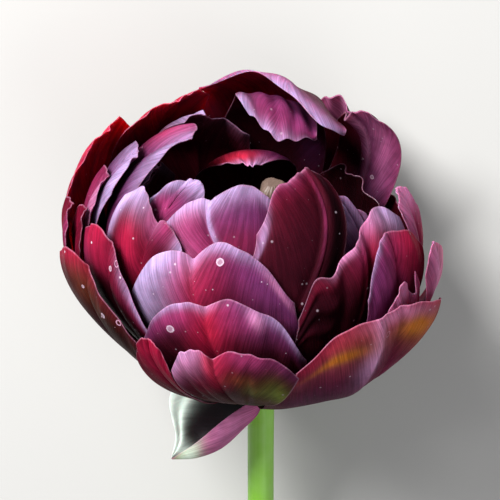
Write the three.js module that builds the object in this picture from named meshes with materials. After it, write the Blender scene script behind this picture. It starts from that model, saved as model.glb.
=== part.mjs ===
// Black hero tulip: one cut double tulip with near-black petals, lying down as picked.
//
// Millimetres. The flower is worked out upright first, in its own frame: the base of the petals at
// the origin, the flower's axis up along z, and azimuth 0 at -y, growing towards +x. It is then laid
// down: the axis points along +y and rises by TILT, the stem runs back along -y and comes down to
// the surface at z = 0, and the petal that was at the back lies underneath and carries the flower.
//
// Every petal follows one of a set of nested egg-shaped shells. A shell's level says how deep it
// lies, so petals of different levels can lap over each other and never touch.
import * as THREE from "three";

// Sizes
const SHELL_RADIUS = 43.5; // of the shell of level 0, across the flower
const SHELL_HALF_HEIGHT = 36;
const LEVEL_RADIUS = 1.55; // how much each level is smaller
const LEVEL_HALF_HEIGHT = 1.2;
const LEVEL_RISE = 1.35; // and how much higher its foot sits
const FOOT_RADIUS = 5.4; // the petals start here, just clear of the receptacle
const PETAL_THICKNESS = 0.6;
const CORNER = 4; // degrees that round off the corners of a petal's tip
const RECEPTACLE_RADIUS = 5;
const RECEPTACLE_TOP = 16;
const RECEPTACLE_FOOT = -3.2;
const NECK_FOOT = -10; // the stem is straight down to here
const STEM_RADIUS = 3.25;
const STEM_LENGTH = 140;
const STEM_END_SLOPE = 5.88; // degrees, at the cut end
const STEM_SHIFT = 2.6; // to the right, in a slight bend below the receptacle
const STEM_BEND = 11;
const TILT = 18; // degrees that the flower's axis rises towards its tip
const FOOT = [-0.5, 33.12, 33.2]; // where the base of the petals lies, with the box centred on x and y

const rad = (degrees) => (degrees * Math.PI) / 180;

// 0 below a, 1 above b, and an S-shaped ramp between.
function smooth(a, b, x) {
  const t = Math.min(Math.max((x - a) / (b - a), 0), 1);
  return t * t * (3 - 2 * t);
}

// A smooth curve through equally spaced values, for t from 0 to 1.
function through(values, t) {
  const last = values.length - 1;
  const s = Math.min(Math.max(t, 0), 1) * last;
  const i = Math.min(Math.floor(s), last - 1);
  const f = s - i;
  const at = (k) => values[Math.min(Math.max(k, 0), last)];
  const [a, b, c, d] = [at(i - 1), at(i), at(i + 1), at(i + 2)];
  return b + 0.5 * f * (c - a + f * (2 * a - 5 * b + 4 * c - d + f * (3 * (b - c) + d - a)));
}

function shell(level) {
  const c = SHELL_HALF_HEIGHT - LEVEL_HALF_HEIGHT * level;
  return { a: SHELL_RADIUS - LEVEL_RADIUS * level, c, middle: c + LEVEL_RISE * level };
}

// One point of a petal's middle surface. u runs from its foot to its tip and v from its left edge,
// -1, to its right edge, 1. The settings are:
//   level     the shell, or [at the foot, at the tip]
//   az        azimuth of the midrib, or [at the foot, at the tip]; lean is the u where it turns
//   wide      degrees from the midrib to the left and the right edge
//   foot      the share of that width at the foot; grow is the u where it is full
//   top       latitudes of the tip edge, left to right, and notch how deep the cleft is
//   folds     grooves along the petal: [v, depth, width]
//   swells    cushions: [v, u, height, width in v, width in u]
//   tip, curl, margin   millimetres outwards at the tip, at the tip edge left to right, at the sides
function petalPoint(p, u, v) {
  const pair = (x) => (Array.isArray(x) ? x : [x, x]);
  const side = Math.abs(v);
  const left = v < 0 ? 0 : 1;
  const [level0, level1] = pair(p.level);
  const level = level0 + (level1 - level0) * smooth(0.4, 1, u);
  const { a, c, middle } = shell(level);

  const tip =
    through(p.top, (v + 1) / 2) - (p.notch ?? 0) * Math.exp(-side / 0.09) - CORNER * side ** 6;
  const footLatitude = (-Math.acos(FOOT_RADIUS / shell(level0).a) * 180) / Math.PI;
  const latitude = footLatitude + (tip - footLatitude) * u;
  const [az0, az1] = pair(p.az);
  const foot = pair(p.foot ?? 0.6)[left];
  const width = p.wide[left] * (foot + (1 - foot) * smooth(0.1, p.grow ?? 0.75, u));
  const azimuth = az0 + (az1 - az0) * smooth(p.lean ?? 0.5, 1, u) + v * width;

  let out = (p.tip ?? 0) * smooth(0.6, 1, u) ** 2;
  for (const [at, depth, wide] of p.folds ?? [[0, 0.5, 0.14]])
    out -= depth * Math.exp(-(((v - at) / wide) ** 2)) * smooth(0.3, 0.9, u);
  for (const [v0, u0, height, inV, inU] of p.swells ?? [])
    out += height * Math.exp(-(((v - v0) / inV) ** 2) - ((u - u0) / inU) ** 2);
  out += (p.puff ?? 0.4) * Math.sin(Math.PI * side) * smooth(0.3, 0.9, u);
  if (p.curl)
    out += through(p.curl, (v + 1) / 2) * smooth(p.curlFrom ?? 0.82, 1, u) ** 1.3;
  out += (p.margin ?? [0, 0])[left] * smooth(0.4, 1, side) ** 1.5 * smooth(0.2, 0.7, u);
  const edge = Math.max(smooth(0.65, 1, side) * smooth(0.3, 0.7, u), smooth(0.8, 1, u));
  const [height, waves] = p.ruffle ?? [0.25, 2];
  out += height * edge * Math.sin(2 * Math.PI * waves * (v + 0.7 * u));
  // The whole flower is a little flatter low down on the left.
  const turn = ((((azimuth + 180) % 360) + 360) % 360) - 180;
  out -= 2.3 * Math.exp(-(((turn + 58) / 38) ** 2) - ((latitude + 22) / 26) ** 2);

  const [la, aa] = [rad(latitude), rad(azimuth)];
  const normal = new THREE.Vector3(
    (Math.cos(la) / a) * Math.sin(aa),
    (-Math.cos(la) / a) * Math.cos(aa),
    Math.sin(la) / c,
  ).normalize();
  return new THREE.Vector3(
    a * Math.cos(la) * Math.sin(aa),
    -a * Math.cos(la) * Math.cos(aa),
    middle + c * Math.sin(la),
  ).addScaledVector(normal, out);
}

// A point at t along a curve through equally spaced points.
const along = (points, t) =>
  new THREE.Vector3(...[0, 1, 2].map((k) => through(points.map((q) => q[k]), t)));

// The middle of a free petal: a smooth surface through rows of points from its foot to its tip, each
// from its left edge to its right one, with waves of the height `wave` near its tip.
function sheetPoint({ rows, wave, waves }, u, v) {
  const p = along(rows.map((row) => along(row, (v + 1) / 2).toArray()), u);
  p.z += wave * Math.sin(2 * Math.PI * waves * (v + 0.8 * u)) * smooth(0.6, 0.9, u);
  return p;
}
const ROOF = {
  wave: 0.35,
  waves: 1.7,
  rows: [
    [[2.7, 4.7, 0.9], [1.8, 5.1, 0.9], [0.8, 5.3, 0.9], [-0.5, 5.4, 0.9], [-1.6, 5.2, 0.9]],
    [[11, 19.1, 5.9], [7.5, 20.7, 5.9], [3.1, 21.8, 5.9], [-1.9, 21.9, 5.9], [-6.4, 21, 5.9]],
    [[20.1, 32.2, 20.2], [13, 35.7, 20.2], [5.3, 37.6, 20.2], [-3.3, 37.9, 20.2], [-12.4, 35.9, 20.2]],
    [[22.5, 36, 38], [14.5, 39.9, 38], [5.9, 42.1, 38], [-3.7, 42.3, 38], [-13.8, 40.2, 38]],
    [[18.5, 27.3, 52], [15.8, 33.9, 53], [8.4, 36.4, 53], [0, 37.4, 53], [-11, 35.7, 53]],
    [[22, 13, 58], [15.5, 14.3, 63], [8.5, 21.3, 66], [-1, 28.9, 63.5], [-12, 29, 58.5]],
    [[21.7, 12, 57], [17, 9.1, 61], [9.3, 13.8, 66.5], [1, 25.5, 65.5], [-12, 28.5, 59.5]],
  ],
};
const PLATE = {
  wave: 0.5,
  waves: 2.2,
  rows: [
    [[2.5, 4.8, 6.3], [1.7, 5.1, 6.3], [0.8, 5.3, 6.3], [-0.2, 5.4, 6.3], [-1.1, 5.3, 6.3]],
    [[7, 13.2, 8.6], [4.6, 14.3, 8.6], [2.1, 14.9, 8.6], [-0.8, 15, 8.6], [-3.6, 14.6, 8.6]],
    [[13.6, 25.6, 17.9], [9, 27.6, 17.9], [3.5, 28.8, 17.9], [-2, 28.9, 17.9], [-7.5, 28, 17.9]],
    [[18.2, 31.4, 40], [11.2, 34.5, 40], [4.4, 36, 40], [-1.9, 36.3, 40], [-7.5, 35.5, 40]],
    [[15.8, 22.5, 57], [10.7, 25.3, 57], [5.7, 26.9, 57], [1, 27.5, 57], [-3.8, 27.2, 57]],
    [[15.3, 8.5, 59.5], [11.5, 10, 62.5], [7.2, 12.5, 65], [1.5, 14, 66], [-3, 14, 66.5]],
    [[15.3, 8, 58.5], [11, 6, 59.5], [6.3, 4.5, 60.5], [2.5, 7.5, 62.5], [-0.5, 11, 64]],
  ],
};

// The petal that hangs below the flower: a channel folded along its midrib. Its near half stands
// towards NEAR, and its far half is taller and rolls back at the edge.
const NEAR = new THREE.Vector3(0, -0.819, 0.574);
const HANGING = {
  spine: [[1, -5.9, -4.2], [2.2, -8.2, -7.8], [-2, -10.5, -12], [-7, -12, -16.4], [-12.8, -13, -18.4],
    [-18.6, -13.5, -18.6]],
  nearRise: [0.05, 0.3, 0.95],
  farRise: [-0.92, 0.5, 0.75],
  near: [1, 3, 6, 7, 4, 0.2],
  far: [1, 5, 15, 14.5, 6, 0.3],
};
function hangingPoint(p, u, v) {
  const side = Math.abs(v);
  const roll = smooth(0.75, 1, -v);
  const [near, far] = [through(p.near, u), through(p.far, u)];
  const high = (v > 0 ? near : far) * side ** 1.3 - 0.08 * far * roll;
  const out = (v > 0 ? 0.4 * near : -0.2 * far) * Math.sin(Math.PI * side * 0.6) + 0.14 * far * roll;
  const rise = new THREE.Vector3(...(v > 0 ? p.nearRise : p.farRise));
  return along(p.spine, u).addScaledVector(rise, high).addScaledVector(NEAR, out);
}

// From the flower's own frame to the lying pose.
function lay(p) {
  const [c, s] = [Math.cos(rad(TILT)), Math.sin(rad(TILT))];
  return new THREE.Vector3(FOOT[0] + p.x, FOOT[1] + p.z * c + p.y * s, FOOT[2] + p.z * s - p.y * c);
}

// A closed blade of even thickness round a grid of points on its middle surface. Both faces are
// split along the same diagonals. What would sink below the floor is pressed flat on it.
function blade(point, rows, cols, floor = -Infinity) {
  const middle = [];
  for (let i = 0; i < rows; i++)
    for (let j = 0; j < cols; j++) {
      const p = lay(point(i / (rows - 1), (2 * j) / (cols - 1) - 1));
      p.z = Math.max(p.z, floor);
      middle.push(p);
    }
  const at = (i, j) => middle[i * cols + j];
  const clamp = (k, n) => Math.min(Math.max(k, 0), n - 1);
  const positions = [];
  const normals = middle.map((_, k) => {
    const [i, j] = [Math.floor(k / cols), k % cols];
    if (middle[k].z <= floor) return new THREE.Vector3(0, 0, -1);
    const along = at(clamp(i + 1, rows), j).clone().sub(at(clamp(i - 1, rows), j));
    const across = at(i, clamp(j + 1, cols)).clone().sub(at(i, clamp(j - 1, cols)));
    return across.cross(along).normalize();
  });
  for (const side of [0.5, -0.5])
    middle.forEach((p, k) => {
      const q = p.clone().addScaledVector(normals[k], side * PETAL_THICKNESS);
      positions.push(q.x, q.y, q.z);
    });
  const inner = rows * cols;
  const index = [];
  const quad = (a, b, c, d) => index.push(a, b, c, a, c, d);
  for (let i = 0; i + 1 < rows; i++)
    for (let j = 0; j + 1 < cols; j++) {
      const a = i * cols + j;
      quad(a, a + 1, a + 1 + cols, a + cols);
      index.push(inner + a, inner + a + 1 + cols, inner + a + 1);
      index.push(inner + a, inner + a + cols, inner + a + 1 + cols);
    }
  // The rim, walked once round the grid.
  const rim = [];
  for (let j = 0; j < cols - 1; j++) rim.push(j);
  for (let i = 0; i < rows - 1; i++) rim.push(i * cols + cols - 1);
  for (let j = cols - 1; j > 0; j--) rim.push((rows - 1) * cols + j);
  for (let i = rows - 1; i > 0; i--) rim.push(i * cols);
  rim.forEach((a, k) => {
    const b = rim[(k + 1) % rim.length];
    quad(a, inner + a, inner + b, b);
  });
  return geometryOf(positions, index);
}

// A closed solid through a row of rings, each {centre, along, radius}.
function ringSolid(rings, sides) {
  const positions = [];
  const index = [];
  rings.forEach(({ centre, along, radius }) => {
    const across = new THREE.Vector3(1, 0, 0).addScaledVector(along, -along.x).normalize();
    const other = along.clone().cross(across);
    for (let k = 0; k < sides; k++) {
      const a = (2 * Math.PI * k) / sides;
      const p = centre.clone().addScaledVector(across, radius * Math.cos(a));
      p.addScaledVector(other, radius * Math.sin(a));
      positions.push(p.x, p.y, p.z);
    }
  });
  const last = rings.length - 1;
  for (const { centre } of [rings[0], rings[last]]) positions.push(centre.x, centre.y, centre.z);
  const [first, end] = [rings.length * sides, rings.length * sides + 1];
  for (let k = 0; k < sides; k++) {
    const next = (k + 1) % sides;
    index.push(first, next, k, end, last * sides + k, last * sides + next);
    for (let i = 0; i < last; i++) {
      const [a, b] = [i * sides, (i + 1) * sides];
      index.push(a + k, a + next, b + next, a + k, b + next, b + k);
    }
  }
  return geometryOf(positions, index);
}

function geometryOf(positions, index) {
  const g = new THREE.BufferGeometry();
  g.setAttribute("position", new THREE.Float32BufferAttribute(positions, 3));
  g.setIndex(index);
  g.computeVertexNormals();
  return g;
}

const material = (color, roughness = 0.6) => new THREE.MeshStandardMaterial({ color, roughness });
const PETAL = material(0x3d0c22, 0.5);
const GREEN = material(0x8fbf4a, 0.55);
const CREAM = material(0xd9cf9a, 0.7);
const DARK = material(0x1c1020, 0.8);

const tulip = new THREE.Group();
tulip.name = "black_hero_tulip";
function add(name, geometry, colour) {
  const mesh = new THREE.Mesh(geometry, colour);
  mesh.name = name;
  tulip.add(mesh);
}
const petal = (name, settings, rows = 11, cols = 11, floor) =>
  add(name, blade((u, v) => petalPoint(settings, u, v), rows, cols, floor), PETAL);

// Petals down the front, from the outermost to the innermost
petal("petal_front_low", { level: [0.6, -2.2], az: [-5, -10.5], wide: [12, 27], foot: [0.7, 0.05],
  grow: 1.25, top: [-4, 2, 3.5, 3.5, 4, 4.5, 3.5, 1, -4], notch: 5, puff: 0.8,
  folds: [[0, 0.6, 0.1], [-0.5, 0.4, 0.12]] });
petal("petal_front_low_left", { level: [0, -1.6], az: [-24, -30], wide: [5, 7], foot: 0.9,
  top: [-7, 0, 1, 0, -8] }, 9, 7);
petal("petal_front_second", { level: [2.6, 1.7], az: [-8, -14.8], wide: [23, 33], foot: [0.9, 0.6], notch: 3,
  puff: 0.8, top: [-7, 4, 12, 15, 16, 18.5, 14.5, 8.5, -7] });
petal("petal_front_third", { level: 4.3, az: [-12, -23.3], wide: [24, 39], foot: [0.9, 0.6], notch: 3.5,
  puff: 0.9, folds: [[0, 0.9, 0.12]], top: [8, 21, 27.5, 30.5, 31.5, 37, 34.5, 28.5, 16] });
petal("petal_front_fourth", { level: 7.4, az: [-4, -27], lean: 0.7, wide: [22, 44], foot: [0.6, 0.2],
  grow: 0.95, top: [34, 44, 51, 54.5, 60, 61, 56], notch: 2, folds: [[-0.08, 0.8, 0.1]], puff: 0.7 });
petal("petal_front_fifth", { level: 9.2, az: -54, wide: [20, 20], top: [36, 52, 58, 58.5, 56], puff: 0.7 });
petal("petal_heart_left", { level: 5.6, az: [-48, -48.5], wide: [27, 24], foot: 0.4, grow: 1, puff: 0.9,
  top: [38, 43, 43, 40, 38, 38, 36, 32, 24], notch: 3, folds: [[0, 1, 0.1]] });
petal("petal_heart_right", { level: 5.6, az: [13, 42], wide: [39, 9], foot: [0.8, 0.6],
  top: [44, 57, 60, 61.5, 61.5, 60, 56], curl: [0, 0, 0, 0, 0.5, 1.2, 1.5], curlFrom: 0.5,
  folds: [[0.25, -0.6, 0.1], [0.1, 0.4, 0.12]], puff: 0.3 });
petal("petal_heart_flange", { level: 7.9, az: 60, wide: [18, 11], top: [47, 48, 45, 33, 14],
  ruffle: [0.9, 2.5] }, 9, 9);

// Right side
petal("petal_right_low", { level: [-0.6, -1.3], az: [46, 49], wide: [35, 36], foot: [1.2, 0.6], grow: 1.25,
  margin: [0.3, -0.8], top: [-5, 6.5, 6.5, 4, -1, -9, -22], folds: [[-0.12, 0.9, 0.16]], puff: 1.6,
  swells: [[-1, 0.72, -2, 0.5, 0.25], [-0.15, 0.62, 1.5, 0.35, 0.14]] });
petal("petal_right_small", { level: 0.3, az: 56, wide: [12, 6], top: [0, 5, 8, 9, 3, 2, 10, 3] }, 9, 9);
petal("petal_right_outer", { level: [0.6, -0.9], az: [74, 77], wide: [12.5, 13],
  top: [9, 13, 10, 1, -9], ruffle: [0.1, 1], curl: [-0.8, -0.8, -0.8, -0.8, -0.8] }, 9, 9);
petal("petal_right_second", { level: 1.7, az: [50, 57], wide: [17, 18], puff: 0.8,
  top: [12, 22, 26.5, 27, 24, 19, 10] });
petal("petal_right_folded", { level: 3.2, az: [34, 44], wide: [28, 28], foot: 0.5, puff: 0.5,
  top: [10, 21.5, 20.5, 26, 28.5, 33, 35.5, 34, 28], folds: [[-0.32, 1.1, 0.1], [0.2, 0.7, 0.1]],
  swells: [[0, 0.95, 0.6, 0.1, 0.1]] });
petal("petal_right_third", { level: 2.6, az: [76, 82], wide: [10, 9], top: [28, 31, 31.5, 27, 16] }, 9, 9);
petal("petal_right_under", { level: 2.3, az: 114, wide: [18, 22], top: [-10, -5, -5, -5, -10] }, 9, 9);
petal("petal_right_back", { level: [4.6, 2.9], az: [134, 126], wide: [13, 19],
  top: [39, 44, 46, 44, 40, 34, 28], curl: [4, 3.2, 1.8, 0.7, 0, 0, 0], curlFrom: 0.65,
  folds: [[0.12, 1.5, 0.12]] });

// Left side
petal("petal_left_low", { level: [1, -0.9], az: [-50, -58], wide: [20, 24.5], foot: [0.4, 0.9],
  grow: 1, top: [9, 14, 14, 7, -2], puff: 0.6 });
petal("petal_left_second", { level: [3.2, 2.4], az: [-50, -58], wide: [20, 23], foot: 0.5,
  top: [18, 23, 22, 14, -4], puff: 0.6 });
petal("petal_left_tip_outer", { level: 0.6, az: -85, wide: [8, 8], top: [16, 20, 19, 12], tip: 1.2 }, 9, 7);
petal("petal_left_tip_inner", { level: 1.6, az: -81, wide: [8, 8], top: [14, 21, 21, 12] }, 9, 7);
petal("petal_left_narrow", { level: 3, az: -90, wide: [11, 11], top: [30, 33, 31, 20] }, 9, 7);
petal("petal_left_curled", { level: 4.4, az: -95, wide: [15, 15], top: [41, 45, 46, 44, 34],
  puff: 0.7 }, 11, 9);
petal("petal_left_outer", { level: 0.5, az: -115, wide: [24, 21], top: [19, 30, 34, 32, 24], tip: 1.2 });
petal("petal_left_strip", { level: 6.6, az: -100, wide: [29, 29], top: [57, 67, 66, 57, 38], puff: 0.8 });
petal("petal_left_small", { level: 8.1, az: -90, wide: [14, 11], top: [40, 46, 46, 40] }, 9, 7);

// Back
petal("petal_back_left", { level: 2.2, az: -143, wide: [20, 20], top: [40, 47, 46, 40, 33] });
petal("petal_back_left_inner", { level: [8.4, 5.2], az: -157, wide: [23, 24], tip: -1.5,
  top: [18, 26, 40, 58, 56], ruffle: [0.6, 1.5] });
add("petal_back_top", blade((u, v) => sheetPoint(ROOF, u, v), 11, 11), PETAL);
add("petal_back_top_inner", blade((u, v) => sheetPoint(PLATE, u, v), 11, 11), PETAL);
petal("petal_back_right", { level: -0.7, az: 143, wide: [12, 20], top: [8, 17, 27, 26, 12],
  folds: [[-0.1, 1.2, 0.15], [0.3, -0.8, 0.12]], ruffle: [0.5, 2.5] });
petal("petal_under_left", { level: -0.9, az: -143, wide: [22, 20], top: [6, 14, 16, 14, 6] });
// This one lies on the surface: it is smooth, and pressed flat where the flower rests on it.
petal("petal_under", { level: -1.8, az: 180, wide: [30, 30], top: [2, 8, 10, 8, 2],
  folds: [], puff: 0, ruffle: [0, 1] }, 13, 13, PETAL_THICKNESS / 2);

// Inside
petal("petal_inner_front", { level: 10.6, az: [-20, -10], wide: [40, 40], top: [20, 30, 40, 30, 20] }, 9, 9);
petal("petal_inner_right", { level: 9, az: 120, wide: [30, 30], top: [0, 10, 16, 12, 0],
  ruffle: [1, 2] });
petal("petal_inner_back", { level: [10.4, 17], az: 182, wide: [31, 33], top: [68, 76, 77, 75, 67, 54],
  folds: [], puff: 0 });
petal("petal_inner_left", { level: 10.4, az: -110, wide: [30, 30], top: [10, 25, 30, 20, 10],
  ruffle: [0.6, 2] }, 9, 9);
add("petal_hanging", blade((u, v) => hangingPoint(HANGING, u, v), 13, 9), PETAL);

// Stem: it leaves the flower along the axis, bends a little to the right, sags as it goes and ends cut
// square. The receptacle is its top, inside the ring of petal feet.
const stem = [];
for (const [z, radius] of [
  [RECEPTACLE_TOP, RECEPTACLE_RADIUS - 0.6],
  [RECEPTACLE_TOP - 0.8, RECEPTACLE_RADIUS],
  [RECEPTACLE_FOOT, RECEPTACLE_RADIUS],
  [-6, 4.3],
  [NECK_FOOT, 3.5],
])
  stem.push({
    centre: lay(new THREE.Vector3(0, 0, z)),
    along: lay(new THREE.Vector3(0, 0, -1)).sub(lay(new THREE.Vector3(0, 0, 0))),
    radius,
  });
const centre = lay(new THREE.Vector3(0, 0, NECK_FOOT));
const STEPS = 20;
for (let i = 1; i <= STEPS; i++) {
  const slope = rad(TILT + ((STEM_END_SLOPE - TILT) * (i - 0.5)) / STEPS);
  const step = (STEM_LENGTH + NECK_FOOT) / STEPS;
  centre.add(new THREE.Vector3(0, -Math.cos(slope) * step, -Math.sin(slope) * step));
  const end = rad(TILT + ((STEM_END_SLOPE - TILT) * i) / STEPS);
  stem.push({
    centre: centre.clone(),
    along: new THREE.Vector3(0, -Math.cos(end), -Math.sin(end)),
    radius: STEM_RADIUS,
  });
}
let below = 0;
const middles = stem.map((ring) => ring.centre.clone());
stem.forEach((ring, i) => {
  if (i > 0) below += middles[i].distanceTo(middles[i - 1]);
  ring.centre.x += STEM_SHIFT * smooth(0, STEM_BEND, below - RECEPTACLE_TOP + RECEPTACLE_FOOT);
});
add("stem", ringSolid(stem, 16), GREEN);

// Pistil: the ovary stands on the receptacle and leans a little, under a blunt stigma.
const axisRing = ([x, z, radius]) => ({
  centre: lay(new THREE.Vector3(x, 0, z)),
  along: lay(new THREE.Vector3(0, 0, 1)).sub(lay(new THREE.Vector3(0, 0, 0))),
  radius,
});
const PISTIL = [[0, RECEPTACLE_TOP + 0.3, 2.3], [0.3, 20, 2.9], [1.4, 28, 3.6], [2.8, 36, 3.5],
  [4, 43, 2.9], [4.6, 46, 2.9], [5, 48.5, 3.3], [5.3, 50.5, 3.2], [5.5, 51.8, 2]];
add("pistil", ringSolid(PISTIL.map(axisRing), 12), CREAM);

// Stamens: six, each a filament that ends in a long anther.
const STAMENS = 6;
const STAMEN = [[3.9, RECEPTACLE_TOP + 0.3, 0.7], [5.2, 20, 0.7], [7.2, 25, 0.8], [8, 27, 1.4],
  [9.3, 31, 1.6], [10.4, 35, 1.4], [10.9, 37.5, 0.6]];
for (let k = 0; k < STAMENS; k++) {
  const turn = rad(30 + (360 / STAMENS) * k);
  const place = (r, z) => lay(new THREE.Vector3(r * Math.sin(turn), -r * Math.cos(turn), z));
  const rings = STAMEN.map(([r, z, radius]) => ({
    centre: place(r, z),
    along: place(r + 0.15, z + 1).sub(place(r, z)).normalize(),
    radius,
  }));
  add("stamen_" + (k + 1), ringSolid(rings, 8), DARK);
}

export default tulip;
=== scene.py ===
"""Looks of the black hero tulip, a cut double tulip that lies on its bloom and on the end of its stem.

Sizes are millimetres in the flower's own frame until a mesh is made: the base of the petals at the
origin, the flower's axis up along z, azimuth 0 towards -y and growing towards +x.
"""

import bpy
import numpy as np
from mathutils import Matrix


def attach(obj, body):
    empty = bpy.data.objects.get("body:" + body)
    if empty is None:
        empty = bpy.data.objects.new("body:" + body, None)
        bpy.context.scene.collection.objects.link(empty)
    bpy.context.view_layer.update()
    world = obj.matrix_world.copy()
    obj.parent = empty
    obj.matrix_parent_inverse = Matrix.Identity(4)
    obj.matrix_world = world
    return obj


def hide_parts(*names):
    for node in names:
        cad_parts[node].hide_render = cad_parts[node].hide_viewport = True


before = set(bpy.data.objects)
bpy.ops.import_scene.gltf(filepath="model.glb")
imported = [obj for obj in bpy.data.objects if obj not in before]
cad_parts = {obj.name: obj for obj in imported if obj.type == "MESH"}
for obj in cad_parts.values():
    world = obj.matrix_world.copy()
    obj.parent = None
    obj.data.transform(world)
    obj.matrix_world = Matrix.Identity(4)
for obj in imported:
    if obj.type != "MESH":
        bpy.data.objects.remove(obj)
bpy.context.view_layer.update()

# Camera
# It looks down on the lying flower as the photograph looks at the growing one: from 35 degrees above
# the flower's equator, through a long lens, with the tip of the bloom at the top of the picture.
METRES = 0.001
TILT = np.radians(18)  # the flower's axis rises this much towards its tip
FOOT = np.array([-0.5, 33.12, 33.2])  # where the base of the petals lies
CAMERA_RISE = np.radians(35)
CAMERA_DISTANCE = 650
LENS = 202.1
AIM_HEIGHT = 36  # on the flower's axis
AIM_DROP = 2.55  # the middle of the picture is this far below it


def turned(directions):
    """Directions from the flower's own frame to the lying pose: y and z turn about x, so that the
    axis points along +y and rises by TILT."""
    x, y, z = np.moveaxis(np.asarray(directions, float), -1, 0)
    c, s = np.cos(TILT), np.sin(TILT)
    return np.stack([x, z * c + y * s, z * s - y * c], -1)


def laid(points):
    """Points from the flower's own frame to the lying pose."""
    return turned(points) + FOOT


back = turned([0, -np.cos(CAMERA_RISE), np.sin(CAMERA_RISE)])
up = turned([0, np.sin(CAMERA_RISE), np.cos(CAMERA_RISE)])
place = (laid([0, 0, AIM_HEIGHT]) + CAMERA_DISTANCE * back - AIM_DROP * up) * METRES
camera = bpy.data.objects.new("camera", bpy.data.cameras.new("camera"))
camera.data.lens = LENS
camera.matrix_world = Matrix(np.vstack([np.stack([[1, 0, 0], up, back, place], 1), [0, 0, 0, 1]]).tolist())
bpy.context.collection.objects.link(camera)
bpy.context.scene.camera = camera

# Floor and light
# A pale matt floor, a big soft lamp high on the upper left where the sun stood, and a dim even
# surround that leaves the hollow of the bloom dark.
FLOOR_SIDE = 4000
FLOOR_GREY = "#bdbcb9"
KEY_FROM = np.array([-0.5, 0.64, 0.66])
LAMP_DISTANCE = 900
KEY_SIDE = 340
KEY_WATTS = 19
FILL_FROM = np.array([0.5, -0.5, 0.7])
FILL_SIDE = 700
FILL_WATTS = 3
SURROUND = 0.22


def linear(colour):
    """A hex colour as linear red, green and blue with alpha 1: c / 12.92 when dark, otherwise the
    power 2.4 of (c + 0.055) / 1.055."""
    c = np.array([int(colour[k:k + 2], 16) for k in (1, 3, 5)]) / 255
    c = np.where(c <= 0.04045, c / 12.92, ((c + 0.055) / 1.055) ** 2.4)
    return (*c.tolist(), 1.0)


def add_node(tree, kind, inputs=None, **settings):
    """Adds one shader node, sets its properties, and gives each input a value or a link. An input
    that is given another node is linked to the first output that this node has in use."""
    made = tree.nodes.new(kind)
    for key, value in settings.items():
        setattr(made, key, value)
    for key, value in (inputs or {}).items():
        if isinstance(value, bpy.types.Node):
            value = next(output for output in value.outputs if output.enabled)
        if isinstance(value, bpy.types.NodeSocket):
            tree.links.new(value, made.inputs[key])
        else:
            made.inputs[key].default_value = value
    return made


def add_lamp(name, towards, distance, side, watts):
    """A square lamp that faces the middle of the bloom from the direction `towards`."""
    light = bpy.data.lights.new(name, "AREA")
    light.size = side * METRES
    light.energy = watts
    lamp = bpy.data.objects.new(name, light)
    out = towards / np.linalg.norm(towards)
    right = np.cross([0, 0, 1], out)
    right /= np.linalg.norm(right)
    spot = (laid([0, 0, AIM_HEIGHT]) + distance * out) * METRES
    rows = np.vstack([np.stack([right, np.cross(out, right), out, spot], 1), [0, 0, 0, 1]])
    lamp.matrix_world = Matrix(rows.tolist())
    bpy.context.collection.objects.link(lamp)


add_lamp("key", KEY_FROM, LAMP_DISTANCE, KEY_SIDE, KEY_WATTS)
add_lamp("fill", FILL_FROM, LAMP_DISTANCE, FILL_SIDE, FILL_WATTS)

world = bpy.data.worlds.new("surround")
world.use_nodes = True
world.node_tree.nodes["Background"].inputs["Strength"].default_value = SURROUND
world.node_tree.nodes["Background"].inputs["Color"].default_value = linear("#f4f6ff")
bpy.context.scene.world = world
bpy.context.scene.view_settings.view_transform = "Standard"

corners = np.array([[-1, -1, 0], [1, -1, 0], [1, 1, 0], [-1, 1, 0]]) * FLOOR_SIDE / 2 * METRES
floor_mesh = bpy.data.meshes.new("floor")
floor_mesh.from_pydata(corners.tolist(), [], [[0, 1, 2, 3]])
floor = bpy.data.objects.new("floor", floor_mesh)
floor_paint = bpy.data.materials.new("floor_paint")
floor_paint.use_nodes = True
floor_paint.node_tree.nodes["Principled BSDF"].inputs["Base Color"].default_value = linear(FLOOR_GREY)
floor_paint.node_tree.nodes["Principled BSDF"].inputs["Roughness"].default_value = 0.9
floor_mesh.materials.append(floor_paint)
bpy.context.collection.objects.link(floor)

# Petals down the front
# Five petals lap over each other below the heart of the bloom, with their outer faces to the viewer.
# Each is a thin blade of soft tissue on one of the nested egg-shaped shells of the bloom, held at
# its foot and cleft at its tip, with veins that fan out from the foot.
SHELL_RADIUS = 43.5  # of the shell of level 0, across the flower
SHELL_HALF_HEIGHT = 36
LEVEL_RADIUS = 1.55  # how much each level is smaller
LEVEL_HALF_HEIGHT = 1.2
LEVEL_RISE = 1.35  # and how much higher its foot sits
FOOT_RADIUS = 5.4  # the petals start here
DENT_DEPTH = 2.3  # the whole bloom is a little flatter low down on the left
DENT_AT = (-58, -22)  # azimuth and latitude of the middle of that dent
DENT_REACH = (38, 26)
BLADE_THICKNESS = 0.5
EDGE_THICKNESS = 0.2
THINS_OVER = 5  # a blade thins towards its rim over this width
FLOOR_HALF = 0.3  # half the thickness of what lies on the floor
GRID = 72  # lines along and across a blade

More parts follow.
